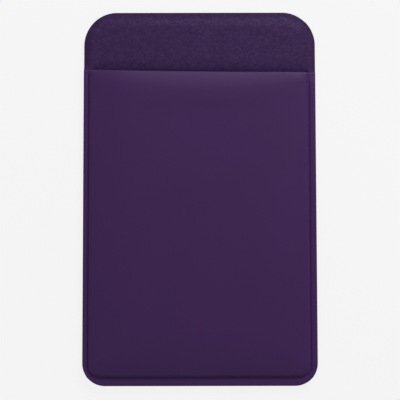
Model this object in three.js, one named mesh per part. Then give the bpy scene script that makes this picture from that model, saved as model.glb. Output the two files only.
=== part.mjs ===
// A stick-on card pocket for the back of a phone, lying face up as it comes out of its packet.
// It is a leather-look backing, a stretch front welded to it along both sides and the foot, and
// an adhesive pad under a peel-off liner.
//
// Millimetres, +Z up. The origin is on the surface that it lies on, under the middle of its
// outline. +Y runs from the welded foot to the head, past the open mouth of the pocket.

import * as THREE from 'three';

// The backing
const LENGTH = 96;
const WIDTH = 60; // half way along
const FLARE = 1.4; // how much wider the foot is than the head
const HEAD_RADIUS = 8.5;
const FOOT_RADIUS = 5.9;
const BACKING_THICKNESS = 1;
const EDGE_ROUND = 0.15;

// The adhesive pad, and the liner that covers it
const PAD_MARGIN = 4; // bare backing left round the pad
const PAD_RADIUS = 4;
const PAD_THICKNESS = 0.4;
const LINER_OVERHANG = 0.8;
const LINER_THICKNESS = 0.15;
const TAB_WIDTH = 13; // the finger tab at the foot of the liner
const TAB_LENGTH = 2.2;

// The mouth of the pocket, which isn't quite square to the sides
const HEAD_BAND = 15.2; // backing that shows past the mouth, half way across
const MOUTH_SLANT = 0.7; // how much deeper that band is on the right than on the left
const LIP_ROUND = 0.15;

// The weld: a flat rim along the edge, then a pressed groove, then the shoulder of the front
const LEFT_RIM = 1.4; // from the edge to the middle of the groove
const RIGHT_RIM = 1.85;
const FOOT_RIM = 2.4;
const RIM_THICKNESS = 0.5;
const RIM_ROUND = 0.3;
const GROOVE_THICKNESS = 0.28;
const SIDE_GROOVE = 0.6; // from a groove's middle to the rim
const FOOT_GROOVE = 1.6;
const CORNER_SQUARENESS = 0.4; // how much squarer the groove turns a foot corner than the outline
const SHOULDER_RUN = 0.9;
const SHOULDER_WALL = 0.4; // across the wall, where it stands up from the groove
const SHOULDER_GAP = 0.66; // between the backing and the front at the shoulder, for a card's edge

// The front: how it stands off the backing, and how its mouth is drawn back towards it
const FRONT_THICKNESS = 0.6;
const BELLY = 0.9;
const BELLY_RUN = 12; // from the welds to where the belly is full
const HIP_ROUND = 1.2; // softens the diagonal where the slopes from a side and the foot meet
const MOUTH_DROP = 0.8;
const MOUTH_RUN = 5; // how far the draw reaches from the lip, half way across
const MOUTH_RUN_AT_SIDES = 1.2;

// Fineness of the front's mesh
const CELLS_ACROSS = 14;
const CELLS_ALONG = 24;
const MOUTH_CROWDING = 1.6; // above 1 draws the lines along the pocket towards its mouth
const ARC_SEGMENTS = 10;
const TINY = 1e-6;

// Levels, from the surface up
const PAD_BOTTOM = LINER_THICKNESS;
const BACKING_BOTTOM = PAD_BOTTOM + PAD_THICKNESS;
const BACKING_TOP = BACKING_BOTTOM + BACKING_THICKNESS;

// Edges and welds in plan, before the flare
const RIGHT = WIDTH / 2;
const LEFT = -RIGHT;
const HEAD = LENGTH / 2;
const FOOT = -HEAD;
const LEFT_SEAM = LEFT + LEFT_RIM;
const RIGHT_SEAM = RIGHT - RIGHT_RIM;
const FOOT_SEAM = FOOT + FOOT_RIM;

const { clamp, lerp, smoothstep } = THREE.MathUtils;

function mouthAt(x) {
  return HEAD - HEAD_BAND - (MOUTH_SLANT * x) / WIDTH;
}

// Widens a piece towards the foot, as the whole outline does.
function flare(geometry) {
  const at = geometry.attributes.position;
  for (let i = 0; i < at.count; i++) {
    at.setX(i, at.getX(i) * (1 - (FLARE / WIDTH) * (at.getY(i) / LENGTH)));
  }
  return geometry;
}

// A rectangle with rounded corners, drawn in from the outline by an even margin. tab draws the
// foot edge from left to right, if it isn't straight.
function roundedOutline(margin, headRadius, footRadius, tab = () => {}) {
  const [left, right, foot, head] = [LEFT + margin, RIGHT - margin, FOOT + margin, HEAD - margin];
  const shape = new THREE.Shape();
  shape.moveTo(left + footRadius, foot);
  tab(shape, foot);
  shape.lineTo(right - footRadius, foot);
  shape.absarc(right - footRadius, foot + footRadius, footRadius, -Math.PI / 2, 0);
  shape.lineTo(right, head - headRadius);
  shape.absarc(right - headRadius, head - headRadius, headRadius, 0, Math.PI / 2);
  shape.lineTo(left + headRadius, head);
  shape.absarc(left + headRadius, head - headRadius, headRadius, Math.PI / 2, Math.PI);
  shape.lineTo(left, foot + footRadius);
  shape.absarc(left + footRadius, foot + footRadius, footRadius, Math.PI, 1.5 * Math.PI);
  return shape;
}

// A flat sheet of that outline, standing on the level `bottom`.
function sheet(shape, bottom, thickness, round = 0) {
  const geometry = new THREE.ExtrudeGeometry(shape, {
    depth: thickness - 2 * round,
    curveSegments: ARC_SEGMENTS,
    bevelEnabled: round > 0,
    bevelThickness: round,
    bevelSize: round,
    bevelOffset: -round,
    bevelSegments: 3,
  });
  return flare(geometry.translate(0, 0, bottom + round));
}

function backing() {
  const outline = roundedOutline(0, HEAD_RADIUS, FOOT_RADIUS);
  return sheet(outline, BACKING_BOTTOM, BACKING_THICKNESS, EDGE_ROUND);
}

function adhesivePad() {
  return sheet(roundedOutline(PAD_MARGIN, PAD_RADIUS, PAD_RADIUS), PAD_BOTTOM, PAD_THICKNESS);
}

// The liner overhangs the pad all round, with a tab at the foot to peel it by.
function liner() {
  const radius = PAD_RADIUS + LINER_OVERHANG;
  const tab = (shape, foot) => {
    const tip = foot - TAB_LENGTH;
    shape.lineTo(-TAB_WIDTH / 2 - TAB_LENGTH, foot);
    shape.bezierCurveTo(-TAB_WIDTH / 2, foot, -TAB_WIDTH / 2, tip, -TAB_WIDTH / 4, tip);
    shape.lineTo(TAB_WIDTH / 4, tip);
    shape.bezierCurveTo(TAB_WIDTH / 2, tip, TAB_WIDTH / 2, foot, TAB_WIDTH / 2 + TAB_LENGTH, foot);
  };
  const outline = roundedOutline(PAD_MARGIN - LINER_OVERHANG, radius, radius, tab);
  return sheet(outline, 0, LINER_THICKNESS);
}

// How far in from an edge each line of the front's mesh runs, from the edge to the middle of a
// foot corner. The lines follow the rim, the groove and the shoulder.
function weldLines(rim, groove) {
  const shoulder = (share) => rim + share * SHOULDER_RUN;
  return [
    0,
    RIM_ROUND / 3,
    RIM_ROUND,
    rim - groove,
    rim - groove / 2,
    rim,
    rim + SHOULDER_WALL / 3,
    rim + SHOULDER_WALL,
    shoulder(0.6),
    shoulder(1),
    lerp(shoulder(1), FOOT_RADIUS, 0.45),
    FOOT_RADIUS,
  ];
}

// Rises from 0 to 1 over a run, as a quarter of an ellipse does.
function quarterTurn(distance, run) {
  return Math.sqrt(1 - (1 - clamp(distance / run, 0, 1)) ** 2);
}

// The rim's thickness at a distance in from the edge, with its own edge rounded and the groove
// pressed into its inner side.
function rimThickness(inset, rim, groove) {
  const rounded = RIM_THICKNESS - RIM_ROUND * (1 - quarterTurn(inset, RIM_ROUND));
  return lerp(GROOVE_THICKNESS, rounded, smoothstep(rim - inset, 0, groove));
}

// How far the front stands off the backing beyond the shoulder, at a point inside the welds.
function bellyAt(x, y) {
  const side = Math.min(x - LEFT_SEAM, RIGHT_SEAM - x);
  const foot = y - FOOT_SEAM;
  const hip = HIP_ROUND * Math.log(Math.exp(-side / HIP_ROUND) + Math.exp(-foot / HIP_ROUND));
  const belly = BELLY * (1 - (1 - clamp(-hip / BELLY_RUN, 0, 1)) ** 2);
  const across = 1 - ((2 * x - LEFT_SEAM - RIGHT_SEAM) / (RIGHT_SEAM - LEFT_SEAM)) ** 2;
  const run = lerp(MOUTH_RUN_AT_SIDES, MOUTH_RUN, across);
  const draw = 1 - clamp((mouthAt(x) - y) / run, 0, 1);
  return belly - Math.min(MOUTH_DROP * across, belly) * draw ** 2;
}

// Heights of the front's underside and top above the backing. The point is given as its
// distances in from the nearest side and from the foot, and its place in plan.
function frontSection(sideInset, sideRim, footInset, x, y) {
  const nearSide = sideInset - sideRim < footInset - FOOT_RIM;
  const [inset, rim, groove] = nearSide
    ? [sideInset, sideRim, SIDE_GROOVE]
    : [footInset, FOOT_RIM, FOOT_GROOVE];
  if (inset <= rim) {
    return { underside: 0, top: rimThickness(inset, rim, groove) };
  }
  const belly = bellyAt(x, y);
  const outer = quarterTurn(inset - rim, SHOULDER_RUN);
  const inner = quarterTurn(inset - rim - SHOULDER_WALL, SHOULDER_RUN - SHOULDER_WALL);
  const top = lerp(GROOVE_THICKNESS, SHOULDER_GAP + FRONT_THICKNESS, outer) + belly;
  const underside = (SHOULDER_GAP + belly) * inner;
  const lip = y >= mouthAt(x) - TINY ? LIP_ROUND : 0;
  return { underside: underside + lip * inner, top: top - lip };
}

// Bends the square lines of cells round a foot corner. lineX and lineY count in from the edges,
// and sideLines and footLines give how far in each of those lines runs. The result is how far
// out from the corner's middle the crossing of two lines lies. Lines further in bend less roundly.
function roundCorner(lineX, lineY, sideLines, footLines) {
  const middle = footLines.length - 1;
  const line = Math.min(lineX, lineY);
  const turn = ((middle - Math.max(lineX, lineY)) / (middle - line)) * (Math.PI / 4);
  const power = 1 / (1 + CORNER_SQUARENESS * smoothstep(line, 0, middle / 2));
  const [near, far] = [Math.cos(turn) ** power, Math.sin(turn) ** power];
  const [byX, byY] = lineX <= lineY ? [near, far] : [far, near];
  return [(FOOT_RADIUS - sideLines[line]) * byX, (FOOT_RADIUS - footLines[line]) * byY];
}

// The front is a box of many cells, drawn to the outline line by line and lifted to its section.
function pocketFront() {
  const footLines = weldLines(FOOT_RIM, FOOT_GROOVE);
  const cornerLines = footLines.length - 1;
  const [cornerX, cornerY] = [RIGHT - FOOT_RADIUS, FOOT + FOOT_RADIUS];
  const across = CELLS_ACROSS + 2 * cornerLines;
  const along = CELLS_ALONG + cornerLines;
  const geometry = new THREE.BoxGeometry(across, along, 1, across, along, 1);
  const at = geometry.attributes.position;
  for (let i = 0; i < at.count; i++) {
    const column = Math.round(at.getX(i) + across / 2);
    const row = Math.round(at.getY(i) + along / 2);
    const side = column < across / 2 ? -1 : 1;
    const sideRim = side < 0 ? LEFT_RIM : RIGHT_RIM;
    const sideLines = weldLines(sideRim, SIDE_GROOVE);
    const line = Math.min(column, across - column);
    const inSide = line < cornerLines;
    const inFoot = row < cornerLines;

    const shareX = clamp((column - cornerLines) / CELLS_ACROSS, 0, 1);
    const shareY = 1 - (1 - clamp((row - cornerLines) / CELLS_ALONG, 0, 1)) ** MOUTH_CROWDING;
    const straightX = inSide ? side * (RIGHT - sideLines[line]) : lerp(-cornerX, cornerX, shareX);
    const straightY = inFoot ? FOOT + footLines[row] : lerp(cornerY, mouthAt(straightX), shareY);
    const sideInset = RIGHT - Math.abs(straightX);
    const section = frontSection(sideInset, sideRim, straightY - FOOT, straightX, straightY);

    let [x, y] = [straightX, straightY];
    if (inFoot && inSide) {
      const [outX, outY] = roundCorner(line, row, sideLines, footLines);
      [x, y] = [side * (cornerX + outX), cornerY - outY];
    }
    const height = at.getZ(i) > 0 ? section.top : section.underside;
    at.setXYZ(i, x, y, BACKING_TOP + height);
  }
  return flare(geometry);
}

const leather = new THREE.MeshStandardMaterial({ color: 0x3a294b, roughness: 0.6 });
const stretchFabric = new THREE.MeshStandardMaterial({ color: 0x3e2a4f, roughness: 0.5 });
const adhesive = new THREE.MeshStandardMaterial({ color: 0xd9dcd6, roughness: 0.35 });
const glassine = new THREE.MeshStandardMaterial({ color: 0xefece2, roughness: 0.45 });

const holder = new THREE.Group();
for (const [name, geometry, material] of [
  ['release_liner', liner(), glassine],
  ['adhesive_pad', adhesivePad(), adhesive],
  ['back_panel', backing(), leather],
  ['pocket_front', pocketFront(), stretchFabric],
]) {
  const mesh = new THREE.Mesh(geometry, material);
  mesh.name = name;
  holder.add(mesh);
}

export default holder;
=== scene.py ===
"""A stick-on card pocket for the back of a phone, lying face up under soft studio light."""

import math

import bmesh
import bpy
from bpy.props import FloatProperty, FloatVectorProperty, PointerProperty
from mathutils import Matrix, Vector, noise


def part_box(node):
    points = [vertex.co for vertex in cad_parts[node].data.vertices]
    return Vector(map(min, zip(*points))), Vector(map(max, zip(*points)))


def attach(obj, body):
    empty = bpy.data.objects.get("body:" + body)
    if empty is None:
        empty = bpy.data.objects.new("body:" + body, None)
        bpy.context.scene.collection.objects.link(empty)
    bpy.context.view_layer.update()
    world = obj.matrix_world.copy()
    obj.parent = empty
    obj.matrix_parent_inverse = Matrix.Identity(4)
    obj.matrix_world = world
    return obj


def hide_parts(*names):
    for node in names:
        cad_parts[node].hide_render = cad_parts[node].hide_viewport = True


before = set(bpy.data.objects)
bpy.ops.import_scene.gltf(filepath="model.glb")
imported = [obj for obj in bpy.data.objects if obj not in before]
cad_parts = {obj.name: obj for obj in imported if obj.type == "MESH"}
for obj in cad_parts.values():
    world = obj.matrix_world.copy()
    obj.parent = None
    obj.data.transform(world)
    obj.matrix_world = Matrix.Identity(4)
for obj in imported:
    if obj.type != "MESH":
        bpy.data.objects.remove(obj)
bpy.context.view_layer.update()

bl_info = {
    "name": "Stick-on card pocket",
    "version": (1, 0, 0),
    "blender": (4, 5, 0),
    "location": "View3D > Sidebar > Card pocket",
    "description": "Dresses a stick-on card pocket and lights it",
    "category": "Add Mesh",
}

MM = 0.001
BACKING_LOW, BACKING_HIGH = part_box("back_panel")

# Fineness of the two meshes
CUT_LINES = 5
ROLL_LINES = 8
CORNER_LINES = 22
BACKING_COLUMNS = 160
HIDDEN_ROWS = 30
BAND_ROWS = 34
GROOVE_LINES = 4
SHOULDER_LINES = 10
INNER_LINES = 5
FRONT_COLUMNS = 80
FRONT_ROWS = 100
MOUTH_CROWDING = 1.5
LIP_LINES = 6
TINY = 1e-6

# The leather grain: how its pebbles are bent out of line, in sizes of a pebble, and how they vary
BROAD_BEND = 0.55
BROAD_BEND_TURNS = 0.6
FINE_BEND = 0.16
FINE_BEND_TURNS = 2.1
CREASE_SLOPE = 0.3
PEBBLE_HEIGHT = 0.85
PEBBLE_VARIATION = 0.5
VARIATION_TURNS = 0.5
GRAIN_SEED = 7

# Where soft noise starts and ends to show, as its values crowd round a half
NOISE_LOW = 0.3
NOISE_HIGH = 0.7

# At the welds the faint roll below the mouth lies this share of its way from the mouth
SWELL_AT_SIDES = 0.5


def length(name, description, default_mm):
    """A size in metres, given here in millimetres."""
    return FloatProperty(
        name=name, description=description, default=default_mm * MM, unit="LENGTH", subtype="DISTANCE"
    )


def number(name, description, default):
    """A plain number that isn't below nought."""
    return FloatProperty(name=name, description=description, default=default, min=0.0)


def colour(name, description, default):
    """A linear colour."""
    return FloatVectorProperty(
        name=name, description=description, default=(*default, 1.0), size=4, subtype="COLOR", min=0.0, max=1.0
    )


class HolderSizes(bpy.types.PropertyGroup):
    """Sizes of the backing and of the front."""

    flare: length("Flare", "How much wider the foot is than the head", 1.4)
    head_radius: length("Head radius", "Radius of the two corners at the head", 8.5)
    foot_radius: length("Foot radius", "Radius of the two corners at the foot", 5.9)
    edge_round: length("Edge round", "Radius of the backing's cut edge", 0.18)
    edge_roll: length("Edge roll", "Width of the backing's pressed edge beside the band", 2.2)
    head_flat: length("Head flat", "Flat part of that edge along the head", 1.0)
    head_roll: length("Head roll", "Width of that edge along the head", 3.8)
    left_drop: length("Left drop", "How far the left edge falls below the band", 0.5)
    right_drop: length("Right drop", "How far the right edge falls below the band", 0.05)
    head_drop: length("Head drop", "How far the head edge falls below the band", 0.42)
    # The code flattens the grain towards the outline and gives it the crease colour there, so the edge comes
    # out darker.
    edge_flat_and_dark: number("Edge press", "Share of the grain that is pressed flat and dark at the edge", 0.75)
    edge_flat_and_dark_run: length("Edge press run", "How far in the grain is pressed", 1.5)
    # Painted shade: by the mouth the flattened grain also takes the dark crease colour, which stands in for
    # the shade there.
    mouth_press_and_shade_run: length("Mouth press run", "How far past the mouth the grain is pressed", 1.1)
    # Painted shadow: just past the mouth the backing is painted near black as the shade under the lip. It is
    # full only from the inset below, counted in from the sides.
    mouth_gap_shadow: length("Mouth gap", "How far out of the mouth the dark of its gap shows", 0.4)
    gap_shadow_inset: length("Mouth gap inset", "From the sides to where that dark is full", 18.0)
    roll_start: length("Roll start", "From the mouth to where the pressed edge is whole", 1.2)
    mouth_dip: length("Mouth dip", "How far the backing is pressed in along the mouth", 0.36)
    mouth_dip_run: length("Mouth dip run", "How far that dip reaches from the mouth", 3.5)
    grain_size: length("Grain size", "Distance between the pebbles of the leather grain", 0.75)
    grain_stretch: number("Grain stretch", "How much wider than long the pebbles are", 1.7)
    grain_height: length("Grain height", "Height of the pebbles above the creases", 0.045)
    grain_tuck: length("Grain tuck", "How far the grain runs on under the front", 2.5)
    band: length("Head band", "Backing that shows past the mouth, half way across", 15.2)
    mouth_slant: length("Mouth slant", "How much deeper the band is on the right", 0.7)
    left_rim: length("Left rim", "From the left edge to the middle of the groove", 1.4)
    right_rim: length("Right rim", "From the right edge to the middle of the groove", 1.85)
    foot_rim: length("Foot rim", "From the foot's edge to the middle of the groove", 2.4)
    rim_thickness: length("Rim thickness", "Thickness of the front at the rim", 0.5)
    rim_round: length("Rim round", "Radius of the rim's outer edge", 0.3)
    groove_thickness: length("Groove thickness", "Thickness of the front under the groove", 0.28)
    side_groove: length("Side groove", "From a side groove's middle to the rim", 0.6)
    foot_groove: length("Foot groove", "From the foot groove's middle to the rim", 1.6)
    rim_end: length("Rim end", "Thickness of the rim's end beside the mouth", 0.25)
    rim_end_run: length("Rim end run", "From the rim's end to its whole thickness", 3.5)
    shoulder_run: length("Shoulder run", "Width of the front's rounded shoulder", 0.9)
    shoulder_wall: length("Shoulder wall", "Thickness of the front where it leaves the groove", 0.4)
    shoulder_gap: length("Shoulder gap", "Room for a card's edge at the shoulder", 0.66)
    front_thickness: length("Front thickness", "Thickness of the front", 0.6)
    belly: length("Belly", "How far the front stands proud of its shoulder", 0.9)
    belly_run: length("Belly run", "From the welds to where the belly is full", 12.0)
    hip_round: length("Hip round", "Softness of the diagonals from the foot corners", 1.2)
    corner_squareness: number("Corner squareness", "How much squarer the groove is than the outline", 0.4)
    mouth_drop: length("Mouth drop", "How far the mouth is drawn back to the backing", 0.8)
    mouth_drop_sides: length("Mouth drop at the sides", "How far it is drawn back near the welds", 0.3)
    mouth_run: length("Mouth run", "How far that draw reaches, half way across", 5.0)
    mouth_run_sides: length("Mouth run at the sides", "How far that draw reaches at the welds", 2.2)
    lip_round: length("Lip round", "Radius of the mouth's edge", 0.38)
    # Painted shadow: the dark band at the lip is partly the cut edge's own colour and partly painted shade
    # under the lip.
    cut_edge_and_shadow_width: length("Raw edge width", "How far in from the mouth the cut edge shows", 0.3)
    swell: length("Swell", "Height of the faint roll below the mouth", 0.15)
    swell_from_mouth: length("Swell from mouth", "How far below the mouth that roll lies", 6.5)
    swell_run: length("Swell run", "Half the width of that roll", 3.0)
    wave: length("Wave", "Height of the front's faint unevenness", 0.05)
    wave_size: length("Wave size", "Size of the front's faint unevenness", 24.0)


class HolderColours(bpy.types.PropertyGroup):
    """Colours of the backing, the front, the pad, the liner and the ground."""

    leather: colour("Leather", "The pebbles of the backing's grain", (0.032, 0.0125, 0.058))
    crease: colour("Crease", "The creases between the pebbles", (0.022, 0.0078, 0.0435))
    front: colour("Front", "The smooth stretch front", (0.0355, 0.0109, 0.0645))
    weld: colour("Weld", "The front where the groove is pressed in", (0.036, 0.0075, 0.074))
    # Cut edge colour and painted shadow: this near-black also paints the shade under the lip, on the front's
    # edge and on the backing past the mouth.
    cut_edge_and_shadow: colour("Raw edge", "The front's cut edge and the gap under it", (0.009, 0.002, 0.022))
    sheen: colour("Sheen", "The front's sheen", (0.75, 0.6, 1.0))
    adhesive: colour("Adhesive", "The pad on the back", (0.62, 0.64, 0.60))
    liner: colour("Liner", "The paper over the pad", (0.86, 0.83, 0.74))
    fibre: colour("Fibre", "The darker fibres in the paper", (0.76, 0.72, 0.61))
    ground: colour("Ground", "The pale floor", (0.905, 0.905, 0.905))


class StudioSizes(bpy.types.PropertyGroup):
    """The camera and the lights."""

    frame_width: length("Frame width", "Width of the picture at the backing's face", 102.8)
    lens: number("Lens", "Focal length in millimetres", 100.0)
    centre_x: length("Centre across", "Middle of the picture, right of the origin", 0.07)
    centre_y: length("Centre along", "Middle of the picture, past the origin", -0.215)
    key_across: length("Key across", "Softbox past the head, right of the holder", 140.0)
    key_along: length("Key along", "Softbox past the head, from the holder", 320.0)
    key_up: length("Key up", "Softbox past the head, above the ground", 250.0)
    key_size: length("Key size", "Side of the softbox past the head", 240.0)
    key_power: number("Key power", "Power of the softbox in watts", 1.95)
    dome: number("Dome", "Brightness of the soft light all round", 0.54)
    ground_size: length("Ground size", "Side of the floor", 6000.0)
    ground_clearance: length("Ground clearance", "Keeps the floor clear of the liner's face", 0.02)
    ground_even: number("Ground evenness", "Share of the floor that shows no light or shade", 0.94)
    camera_turn: FloatProperty(
        name="Camera turn",
        description="How far the camera is turned about its line of sight",
        default=math.radians(-0.1),
        subtype="ANGLE",
    )


def clamped(value, low=0.0, high=1.0):
    return max(low, min(high, value))


def mixed(first, second, factor):
    return first + (second - first) * factor


def smooth(value, low=0.0, high=1.0):
    """0 below low, 1 above high, and an even S between them."""
    factor = clamped((value - low) / (high - low))
    return factor * factor * (3 - 2 * factor)


def quarter_turn(distance, run):
    """Rises from 0 to 1 over a run, as a quarter of an ellipse does."""
    return math.sqrt(1 - (1 - clamped(distance / run)) ** 2)


def spread(start, end, steps):
    """Evenly spaced places after start, up to and with end."""
    return [mixed(start, end, step / steps) for step in range(1, steps + 1)]


def turned(start, run, steps):
    """Places after start that crowd towards it, as suits a quarter turn that starts there."""
    return [start + run * (1 - math.cos(step / steps * math.pi / 2)) for step in range(1, steps + 1)]


def half_outline(sizes):
    """Half the holder's width, half way along, and half its length."""
    half_length = (BACKING_HIGH[1] - BACKING_LOW[1]) / 2
    half_width = (BACKING_HIGH[0] - BACKING_LOW[0]) / 2
    return half_width / (1 + sizes.flare / (4 * half_width)), half_length


def flared(sizes, x, y):
    """x after the outline's even widening towards the foot."""
    half_width, half_length = half_outline(sizes)
    return x * (1 - sizes.flare / (2 * half_width) * y / (2 * half_length))


def mouth_at(sizes, x):
    """How far along the pocket's mouth lies, at a place across."""
    half_width, half_length = half_outline(sizes)
    return half_length - sizes.band - sizes.mouth_slant * x / (2 * half_width)


def straight_across(column, columns, left, right, half_width):
    """Place across of a column of cells, whose lines run in from both sides."""
    corner = len(left) - 1
    if column <= corner:
        return left[column] - half_width
    if columns - column <= corner:
        return half_width - right[columns - column]
    share = (column - corner) / (columns - 2 * corner)
    return mixed(left[-1] - half_width, half_width - right[-1], share)


def bent_corner(radius, line_x, line_y, side_lines, end_lines, squareness=0.0):
    """How far out from a round corner's middle two lines of cells cross. line_x and line_y count in
    from the edges, and the lists give how far in each line runs. Lines further in bend less
    roundly, by the squareness."""
    middle = len(side_lines) - 1
    line = min(line_x, line_y)
    turn = (middle - max(line_x, line_y)) / (middle - line) * math.pi / 4
    power = 1 / (1 + squareness * smooth(line, 0, middle / 2))
    near, far = math.cos(turn) ** power, math.sin(turn) ** power
    by_x, by_y = (near, far) if line_x <= line_y else (far, near)
    return (radius - side_lines[line]) * by_x, (radius - end_lines[line]) * by_y


def cell_box(columns, rows, attributes):
    """A closed flat box of cells, and each of its corners with its column, its row and whether it is
    on top."""
    shape = bmesh.new()
    for name in attributes:
        shape.verts.layers.float.new(name)
    bmesh.ops.create_grid(shape, x_segments=columns, y_segments=rows, size=0.5)
    bmesh.ops.solidify(shape, geom=shape.faces[:], thickness=1.0)
    middle = sum(vert.co.z for vert in shape.verts) / len(shape.verts)
    places = []
    for vert in shape.verts:
        column = round((vert.co.x + 0.5) * columns)
        row = round((vert.co.y + 0.5) * rows)
        places.append((vert, column, row, vert.co.z > middle))
    return shape, places


def finished_piece(shape, name, material, node):
    """Makes the object of a shape, in place of a CAD node."""
    bmesh.ops.recalc_face_normals(shape, faces=shape.faces[:])
    mesh = bpy.data.meshes.new(name)
    shape.to_mesh(mesh)
    shape.free()
    mesh.shade_smooth()
    mesh.materials.append(material)
    piece = bpy.data.objects.new(name, mesh)
    bpy.context.scene.collection.objects.link(piece)
    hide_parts(node)
    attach(piece, "root")
    return piece


def backing_lines(sizes, radius):
    """How far in from the edge each line of the backing's cells runs, up to a corner's middle."""
    cut = turned(0, sizes.edge_round, CUT_LINES)
    roll = spread(sizes.edge_round, sizes.edge_roll, ROLL_LINES)
    return [0.0, *cut, *roll, *spread(sizes.edge_roll, radius, CORNER_LINES)]


def pebbles(sizes, x, y):
    """Height of the leather grain at a point, from 0 in a crease to 1 on a pebble."""
    place = Vector((x / sizes.grain_stretch, y, 0)) / sizes.grain_size
    bend = noise.noise_vector(place * BROAD_BEND_TURNS) * BROAD_BEND
    bend += noise.noise_vector(place * FINE_BEND_TURNS) * FINE_BEND
    near = noise.voronoi(place + bend, distance_metric="DISTANCE")[0]
    dome = smooth(near[1] - near[0], 0.0, CREASE_SLOPE)
    return clamped(dome * (PEBBLE_HEIGHT + PEBBLE_VARIATION * noise.noise(place * VARIATION_TURNS)))


def pressed_and_shaded_grain(sizes, x, y, inset, past_mouth):
    """Height of the grain after it is pressed along the edge and the mouth, and the strength of the painted
    shadow just past the mouth. The height also sets the colour: flattened grain takes the dark crease colour.
    """
    from_side = smooth(inset, 0, sizes.gap_shadow_inset)
    # Darker towards the outline: the flattened grain takes the crease colour.
    edge_flat_and_dark = sizes.edge_flat_and_dark * (1 - smooth(inset, 0, sizes.edge_flat_and_dark_run))
    # By the mouth the flattened grain's crease colour is painted shade.
    mouth_press_and_shade = (1 - smooth(past_mouth, 0, sizes.mouth_press_and_shade_run)) * from_side
    # Painted shadow: near black just past the mouth, fading in from the sides.
    gap_shadow = (1 - smooth(past_mouth, 0, sizes.mouth_gap_shadow)) * from_side
    return pebbles(sizes, x, y) * (1 - edge_flat_and_dark) * (1 - mouth_press_and_shade), gap_shadow


def edge_fall(sizes, side_inset, head_inset, on_left):
    """How far the backing's pressed edge falls below the band, from a side's fall to the head's."""
    side_drop = sizes.left_drop if on_left else sizes.right_drop
    side_part = side_drop * (1 - smooth(side_inset, 0, sizes.edge_roll))
    head_part = sizes.head_drop * (1 - smooth(head_inset, sizes.head_flat, sizes.head_roll))
    return mixed(side_part, head_part, side_inset / max(side_inset + head_inset, MM * TINY))


def backing_shape(sizes):
    """The backing: a flat sheet whose head shows the grain and a pressed, rolled edge."""
    half_width, half_length = half_outline(sizes)
    foot_lines = backing_lines(sizes, sizes.foot_radius)
    head_lines = backing_lines(sizes, sizes.head_radius)
    corner = len(foot_lines) - 1
    foot_middle = sizes.foot_radius - half_length
    head_middle = half_length - sizes.head_radius
    grain_start = half_length - sizes.band - sizes.grain_tuck
    along = [inset - half_length for inset in foot_lines]
    along += spread(foot_middle, grain_start, HIDDEN_ROWS)
    along += spread(grain_start, head_middle, BAND_ROWS)
    along += [half_length - inset for inset in reversed(head_lines[:-1])]
    rows = len(along) - 1
    columns = BACKING_COLUMNS + 2 * corner
    shape, places = cell_box(columns, rows, ["grain"])
    grain = shape.verts.layers.float["grain"]
    noise.seed_set(GRAIN_SEED)  # the grain's bends are otherwise drawn anew in each run
    for vert, column, row, on_top in places:
        y = along[row]
        towards_head = smooth(y, foot_middle, head_middle)
        lines = [mixed(foot, head, towards_head) for foot, head in zip(foot_lines, head_lines)]
        x = straight_across(column, columns, lines, lines, half_width)
        inset = min(half_width - abs(x), half_length - abs(y))
        fall = edge_fall(sizes, half_width - abs(x), half_length - y, x < 0)
        line_x, line_y = min(column, columns - column), min(row, rows - row)
        if line_x < corner and line_y < corner:
            out_x, out_y = bent_corner(lines[-1], line_x, line_y, lines, lines)
            x = math.copysign(half_width - lines[-1] + out_x, x)
            y = math.copysign(half_length - lines[-1] + out_y, y)
        cut = sizes.edge_round * (1 - quarter_turn(inset, sizes.edge_round))
        z = BACKING_LOW[2] + cut
        vert[grain] = 1.0
        if on_top:
            past_mouth = y - mouth_at(sizes, x)
            dip = sizes.mouth_dip * (1 - clamped(abs(past_mouth) / sizes.mouth_dip_run)) ** 2
            z = BACKING_HIGH[2] - cut - fall * smooth(past_mouth, 0, sizes.roll_start)
            z -= dip * smooth(inset, sizes.left_rim, sizes.left_rim + sizes.roll_start)
            if y > grain_start:
                height, gap_shadow = pressed_and_shaded_grain(sizes, x, y, inset, past_mouth)
                tucked = smooth(y, grain_start, grain_start + sizes.roll_start)
                z -= sizes.grain_height * (1 - height) * tucked
                # The grain attribute also carries painted shade: below nought it is the painted shadow past
                # the mouth.
                vert[grain] = height - gap_shadow
        vert.co = (flared(sizes, x, y), y, z)
    return shape


def weld_lines(sizes, rim, groove):
    """How far in from the edge each line of the front's cells runs, up to a foot corner's middle."""
    return [
        0.0,
        *turned(0, sizes.rim_round, CUT_LINES),
        rim - groove,
        *spread(rim - groove, rim, GROOVE_LINES),
        *turned(rim, sizes.shoulder_run, SHOULDER_LINES),
        *spread(rim + sizes.shoulder_run, sizes.foot_radius, INNER_LINES),
    ]


def rim_height(sizes, inset, rim, groove):
    """Thickness of the rim, with its edge rounded and the groove pressed into its inner side."""
    rounded = sizes.rim_thickness - sizes.rim_round * (1 - quarter_turn(inset, sizes.rim_round))
    return mixed(sizes.groove_thickness, rounded, smooth(rim - inset, 0, groove))


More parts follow.
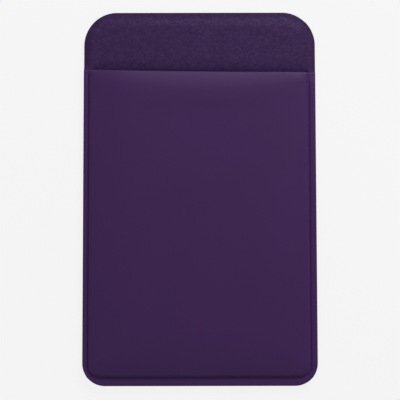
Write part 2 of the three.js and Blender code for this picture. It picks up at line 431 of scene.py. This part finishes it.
def belly_at(sizes, x, y):
    """How far the front stands off the backing beyond its shoulder, inside the welds."""
    half_width, half_length = half_outline(sizes)
    left, right = sizes.left_rim - half_width, half_width - sizes.right_rim
    side = min(x - left, right - x)
    foot = y + half_length - sizes.foot_rim
    softness = sizes.hip_round
    inside = -softness * math.log(math.exp(-side / softness) + math.exp(-foot / softness))
    belly = sizes.belly * (1 - (1 - clamped(inside / sizes.belly_run)) ** 2)
    belly += sizes.wave * noise.noise(Vector((x, y, 0)) / sizes.wave_size) * smooth(side, 0, sizes.belly_run)
    across = clamped(1 - ((2 * x - left - right) / (right - left)) ** 2)
    from_mouth = mouth_at(sizes, x) - y
    swell_place = sizes.swell_from_mouth * mixed(SWELL_AT_SIDES, 1, across)
    from_swell = (from_mouth - swell_place) / sizes.swell_run
    belly += sizes.swell * across * math.exp(-(from_swell**2))
    draw = 1 - clamped(from_mouth / mixed(sizes.mouth_run_sides, sizes.mouth_run, across))
    drop = max(sizes.mouth_drop * across, sizes.mouth_drop_sides)
    return belly - min(drop, belly) * draw**2


def front_heights(sizes, side_inset, side_rim, foot_inset, x, y):
    """Heights of the front's underside and of its top above the backing, and how far it is pressed."""
    inset, rim, groove = side_inset, side_rim, sizes.side_groove
    if foot_inset - sizes.foot_rim <= side_inset - side_rim:
        inset, rim, groove = foot_inset, sizes.foot_rim, sizes.foot_groove
    if inset <= rim:
        whole = smooth(mouth_at(sizes, x) - y, 0, sizes.rim_end_run)
        top = mixed(sizes.rim_end, rim_height(sizes, inset, rim, groove), whole)
        return 0.0, top, smooth(inset, rim - groove, rim)
    belly = belly_at(sizes, x, y)
    outer = quarter_turn(inset - rim, sizes.shoulder_run)
    inner = quarter_turn(inset - rim - sizes.shoulder_wall, sizes.shoulder_run - sizes.shoulder_wall)
    top = mixed(sizes.groove_thickness, sizes.shoulder_gap + sizes.front_thickness, outer) + belly
    return (sizes.shoulder_gap + belly) * inner, top, 1 - smooth(inset - rim, 0, sizes.shoulder_wall)


def front_shape(sizes):
    """The front: welded along both sides and the foot, and open at the mouth."""
    half_width, half_length = half_outline(sizes)
    left = weld_lines(sizes, sizes.left_rim, sizes.side_groove)
    right = weld_lines(sizes, sizes.right_rim, sizes.side_groove)
    foot_lines = weld_lines(sizes, sizes.foot_rim, sizes.foot_groove)
    corner = len(foot_lines) - 1
    foot_middle = sizes.foot_radius - half_length
    lip_depths = [sizes.lip_round, *reversed([0.0, *turned(0, sizes.lip_round, LIP_LINES)][:-1])]
    rows = corner + FRONT_ROWS + LIP_LINES
    columns = FRONT_COLUMNS + 2 * corner
    shape, places = cell_box(columns, rows, ["pressed", "cut_lip_and_shadow"])
    pressed_layer = shape.verts.layers.float["pressed"]
    cut_lip_and_shadow_layer = shape.verts.layers.float["cut_lip_and_shadow"]
    for vert, column, row, on_top in places:
        x = straight_across(column, columns, left, right, half_width)
        lip_depth = lip_depths[max(0, row - corner - FRONT_ROWS)]
        if row <= corner:
            y = foot_lines[row] - half_length
        else:
            share = 1 - (1 - min(1, (row - corner) / FRONT_ROWS)) ** MOUTH_CROWDING
            y = mixed(foot_middle, mouth_at(sizes, x) - lip_depth, share)
        side_lines, side_rim = (left, sizes.left_rim) if x < 0 else (right, sizes.right_rim)
        underside, top, pressed = front_heights(sizes, half_width - abs(x), side_rim, y + half_length, x, y)
        vert[pressed_layer] = pressed
        # The lip's dark is the cut edge's colour together with painted shadow of the slit under it. It is
        # full only away from the welds.
        from_side = smooth(half_width - abs(x), side_rim, sizes.gap_shadow_inset)
        vert[cut_lip_and_shadow_layer] = from_side * (1 - smooth(lip_depth, 0, sizes.cut_edge_and_shadow_width))
        lip = min(sizes.lip_round, (top - underside) / 2) * (1 - quarter_turn(lip_depth, sizes.lip_round))
        line_x = min(column, columns - column)
        if line_x < corner and row < corner:
            squareness = sizes.corner_squareness
            out_x, out_y = bent_corner(sizes.foot_radius, line_x, row, side_lines, foot_lines, squareness)
            x = math.copysign(half_width - sizes.foot_radius + out_x, x)
            y = foot_middle - out_y
        height = top - lip if on_top else underside + (lip if underside > 0 else 0)
        vert.co = (flared(sizes, x, y), y, BACKING_HIGH[2] + height)
    return shape


class Finish:
    """A material's nodes, put together with short calls."""

    def __init__(self, name):
        self.material = bpy.data.materials.new(name)
        self.material.use_nodes = True
        self.nodes = self.material.node_tree.nodes
        self.shader = self.nodes["Principled BSDF"]
        self.place = self.nodes.new("ShaderNodeTexCoord").outputs["Object"]

    def put(self, socket, value):
        """Joins a socket to another node's output, or sets its value."""
        if isinstance(value, bpy.types.NodeSocket):
            self.material.node_tree.links.new(value, socket)
        else:
            socket.default_value = value

    def add(self, kind, inputs, **settings):
        """A node with its settings and its inputs, which are given by name or by number."""
        node = self.nodes.new(kind)
        for name, value in settings.items():
            setattr(node, name, value)
        for socket, value in inputs.items():
            self.put(node.inputs[socket], value)
        return node

    def stretched(self, x, y, z):
        """The place on the piece, with each axis divided by a length in metres."""
        inputs = {"Vector": self.place, "Scale": (1 / x, 1 / y, 1 / z)}
        return self.add("ShaderNodeMapping", inputs).outputs["Vector"]

    def soft_noise(self, size, detail=2.0):
        """Soft noise whose features are about a given size, in metres."""
        inputs = {"Vector": self.place, "Scale": 1 / size, "Detail": detail}
        return self.add("ShaderNodeTexNoise", inputs).outputs["Fac"]

    def ranged(self, value, low, high, to_low=0.0, to_high=1.0):
        """A value carried from one range to another, and held inside it."""
        inputs = {"Value": value, 1: low, 2: high, 3: to_low, 4: to_high}
        return self.add("ShaderNodeMapRange", inputs).outputs["Result"]

    def blended(self, factor, first, second):
        """A colour between two colours."""
        inputs = {0: factor, 6: first, 7: second}
        return self.add("ShaderNodeMix", inputs, data_type="RGBA").outputs[2]

    def bump(self, height, depth, below=None):
        """A bump of a given depth, in metres, on top of another one."""
        inputs = {"Height": height, "Distance": depth}
        if below is not None:
            inputs["Normal"] = below
        return self.add("ShaderNodeBump", inputs).outputs["Normal"]

    def finish(self, **values):
        """Sets the shader's own sockets, named with _ for each space."""
        for name, value in values.items():
            self.put(self.shader.inputs[name.replace("_", " ")], value)
        return self.material


def shaded(paint, factor):
    """A colour times a factor, with its alpha kept."""
    return (*(part * factor for part in paint[:3]), paint[3])


def leather_finish(colours):
    """Faux leather: dark creases, slightly glossy pebbles and fine pores, and a near-black painted shadow
    just past the pocket's mouth.
    """
    finish = Finish("grained_leather")
    grain = finish.add("ShaderNodeAttribute", {}, attribute_name="grain").outputs["Fac"]
    patchy = finish.ranged(finish.soft_noise(9 * MM), NOISE_LOW, NOISE_HIGH)
    pebble = finish.blended(patchy, shaded(colours.leather, 0.94), shaded(colours.leather, 1.05))
    pebble_share = finish.ranged(grain, 0.0, 0.8)
    # Painted shadow: grain below nought blends to the near-black colour of the front's cut edge.
    gap_shadow_share = finish.ranged(grain, -1.0, 0.0, 1.0, 0.0)
    paint = finish.blended(pebble_share, colours.crease, pebble)
    paint = finish.blended(gap_shadow_share, paint, colours.cut_edge_and_shadow)
    pores = finish.bump(finish.soft_noise(0.11 * MM, 3.0), 0.012 * MM)
    wrinkles = finish.bump(finish.soft_noise(0.5 * MM, 3.0), 0.02 * MM, pores)
    gloss = finish.ranged(grain, 0.0, 1.0, 0.66, 0.5)
    return finish.finish(Base_Color=paint, Roughness=gloss, Specular_IOR_Level=0.11, Normal=wrinkles)


def front_finish(colours):
    """Smooth stretch fabric: a soft sheen over a fine knit, deeper in the welds, and dark at the cut lip,
    where the cut edge's colour and painted shadow of the slit under it are laid on together.
    """
    finish = Finish("stretch_fabric")
    pressed = finish.add("ShaderNodeAttribute", {}, attribute_name="pressed").outputs["Fac"]
    cut_lip_and_shadow = finish.add("ShaderNodeAttribute", {}, attribute_name="cut_lip_and_shadow").outputs["Fac"]
    patchy = finish.ranged(finish.soft_noise(14 * MM, 3.0), NOISE_LOW, NOISE_HIGH)
    smooth_face = finish.blended(patchy, shaded(colours.front, 0.975), shaded(colours.front, 1.025))
    paint = finish.blended(pressed, smooth_face, colours.weld)
    # Painted shadow, together with the cut edge's colour, along the lip.
    paint = finish.blended(cut_lip_and_shadow, paint, colours.cut_edge_and_shadow)
    knit_place = finish.stretched(0.2 * MM, 0.28 * MM, 0.28 * MM)
    inputs = {"Vector": knit_place, "Scale": 1.0, "Randomness": 0.35}
    knit = finish.add("ShaderNodeTexVoronoi", inputs).outputs["Distance"]
    loops = finish.bump(knit, 0.006 * MM)
    nap = finish.bump(finish.soft_noise(0.7 * MM, 4.0), 0.008 * MM, loops)
    return finish.finish(
        Base_Color=paint,
        Roughness=finish.ranged(cut_lip_and_shadow, 0.0, 1.0, 0.48, 1.0),
        Specular_IOR_Level=0.15,
        Sheen_Weight=0.05,
        Sheen_Roughness=0.4,
        Sheen_Tint=colours.sheen,
        Normal=nap,
    )


def adhesive_finish(colours):
    """Milky double-sided foam tape."""
    finish = Finish("adhesive_foam")
    cells = finish.soft_noise(0.35 * MM, 4.0)
    cell_share = finish.ranged(cells, 0.35, 0.65)
    paint = finish.blended(cell_share, shaded(colours.adhesive, 0.9), colours.adhesive)
    return finish.finish(Base_Color=paint, Roughness=0.45, Normal=finish.bump(cells, 0.02 * MM))


def liner_finish(colours):
    """Release paper: faint fibres under a smooth, slightly glossy coat."""
    finish = Finish("release_paper")
    fibre_place = finish.stretched(2.6 * MM, 0.35 * MM, 1 * MM)
    inputs = {"Vector": fibre_place, "Scale": 1.0, "Detail": 5.0}
    fibres = finish.add("ShaderNodeTexNoise", inputs).outputs["Fac"]
    cloudy = finish.soft_noise(6 * MM, 4.0)
    fibre_share = finish.ranged(fibres, 0.5, 0.75, 0.0, 0.6)
    cloud_share = finish.ranged(cloudy, 0.35, 0.7, 0.0, 0.35)
    paper = finish.blended(cloud_share, colours.liner, shaded(colours.liner, 0.93))
    paint = finish.blended(fibre_share, paper, colours.fibre)
    return finish.finish(
        Base_Color=paint,
        Roughness=finish.ranged(cloudy, NOISE_LOW, NOISE_HIGH, 0.34, 0.5),
        Normal=finish.bump(fibres, 0.012 * MM),
    )


def ground_finish(colours, evenness):
    """The pale ground: mostly even to the camera and in reflections, and else plain lit paper."""
    finish = Finish("pale_ground")
    finish.nodes.remove(finish.shader)
    paper = finish.add("ShaderNodeBsdfDiffuse", {"Color": colours.ground}).outputs["BSDF"]
    even = finish.add("ShaderNodeEmission", {"Color": colours.ground, "Strength": 1.0}).outputs["Emission"]
    rays = finish.add("ShaderNodeLightPath", {}).outputs
    seen = rays["Is Camera Ray"]
    for kind in ("Is Glossy Ray", "Is Transmission Ray"):
        seen = finish.add("ShaderNodeMath", {0: seen, 1: rays[kind]}, operation="MAXIMUM").outputs[0]
    share = finish.add("ShaderNodeMath", {0: seen, 1: evenness}, operation="MULTIPLY").outputs[0]
    mix = finish.add("ShaderNodeMixShader", {0: share, 1: paper, 2: even})
    finish.put(finish.nodes["Material Output"].inputs["Surface"], mix.outputs["Shader"])
    return finish.material


def add_ground(scene, studio):
    """The pale floor, a hair below the liner's face."""
    shape = bmesh.new()
    bmesh.ops.create_grid(shape, x_segments=1, y_segments=1, size=studio.ground_size / 2)
    mesh = bpy.data.meshes.new("ground")
    shape.to_mesh(mesh)
    shape.free()
    mesh.materials.append(ground_finish(scene.pocket_colours, studio.ground_even))
    ground = bpy.data.objects.new("ground", mesh)
    ground.location.z = -studio.ground_clearance
    scene.collection.objects.link(ground)


def add_lights(scene, studio):
    """Even light all round, and a softbox past the head, to the right."""
    world = bpy.data.worlds.new("soft_dome")
    world.use_nodes = True
    background = world.node_tree.nodes["Background"].inputs
    background["Color"].default_value = (1, 1, 1, 1)
    background["Strength"].default_value = studio.dome
    scene.world = world

    lamp = bpy.data.lights.new("softbox", "AREA")
    lamp.size = studio.key_size
    lamp.energy = studio.key_power
    softbox = bpy.data.objects.new("softbox", lamp)
    softbox.location = (studio.key_across, studio.key_along, studio.key_up)
    softbox.rotation_euler = Vector(softbox.location).to_track_quat("Z", "Y").to_euler()
    scene.collection.objects.link(softbox)


def add_camera(scene, studio):
    """The camera, which looks straight down."""
    lens = bpy.data.cameras.new("camera")
    lens.lens = studio.lens
    camera = bpy.data.objects.new("camera", lens)
    distance = studio.frame_width * studio.lens / lens.sensor_width
    camera.location = (studio.centre_x, studio.centre_y, BACKING_HIGH[2] + distance)
    camera.rotation_euler = (0, 0, studio.camera_turn)
    scene.collection.objects.link(camera)
    scene.camera = camera


class POCKET_OT_backing(bpy.types.Operator):
    """Adds the grained backing, with its pressed and rolled head."""

    bl_idname = "pocket.backing"
    bl_label = "Grained backing"

    def execute(self, context):
        scene = context.scene
        material = leather_finish(scene.pocket_colours)
        shape = backing_shape(scene.pocket_sizes)
        finished_piece(shape, "grained_backing", material, "back_panel")
        return {"FINISHED"}


class POCKET_OT_front(bpy.types.Operator):
    """Adds the smooth front, welded along its sides and foot."""

    bl_idname = "pocket.front"
    bl_label = "Stretch front"

    def execute(self, context):
        scene = context.scene
        material = front_finish(scene.pocket_colours)
        shape = front_shape(scene.pocket_sizes)
        piece = finished_piece(shape, "stretch_front", material, "pocket_front")
        return {"FINISHED"}


class POCKET_OT_pad(bpy.types.Operator):
    """Finishes the adhesive pad and the liner over it."""

    bl_idname = "pocket.pad"
    bl_label = "Pad and liner"

    def execute(self, context):
        colours = context.scene.pocket_colours
        for node, material in (
            ("adhesive_pad", adhesive_finish(colours)),
            ("release_liner", liner_finish(colours)),
        ):
            for material_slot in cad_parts[node].material_slots:
                material_slot.material = material
        return {"FINISHED"}


class POCKET_OT_stage(bpy.types.Operator):
    """Adds the pale ground, the softbox, the light all round and the camera that looks down."""

    bl_idname = "pocket.stage"
    bl_label = "Stage"

    def execute(self, context):
        scene = context.scene
        add_ground(scene, scene.pocket_studio)
        add_lights(scene, scene.pocket_studio)
        add_camera(scene, scene.pocket_studio)
        scene.view_settings.view_transform = "Standard"
        return {"FINISHED"}


OPERATORS = (POCKET_OT_backing, POCKET_OT_front, POCKET_OT_pad, POCKET_OT_stage)


class POCKET_PT_panel(bpy.types.Panel):
    """Lists the pieces of the card pocket."""

    bl_idname = "POCKET_PT_panel"
    bl_label = "Card pocket"
    bl_space_type = "VIEW_3D"
    bl_region_type = "UI"
    bl_category = "Card pocket"

    def draw(self, context):
        for operator in OPERATORS:
            self.layout.operator(operator.bl_idname)


CLASSES = (HolderSizes, HolderColours, StudioSizes, *OPERATORS, POCKET_PT_panel)


def register():
    for item in CLASSES:
        bpy.utils.register_class(item)
    bpy.types.Scene.pocket_sizes = PointerProperty(type=HolderSizes)
    bpy.types.Scene.pocket_colours = PointerProperty(type=HolderColours)
    bpy.types.Scene.pocket_studio = PointerProperty(type=StudioSizes)


def unregister():
    del bpy.types.Scene.pocket_studio
    del bpy.types.Scene.pocket_colours
    del bpy.types.Scene.pocket_sizes
    for item in reversed(CLASSES):
        bpy.utils.unregister_class(item)


def main():
    register()
    bpy.ops.pocket.backing()
    bpy.ops.pocket.front()
    bpy.ops.pocket.pad()
    bpy.ops.pocket.stage()


if __name__ == "__main__":
    main()
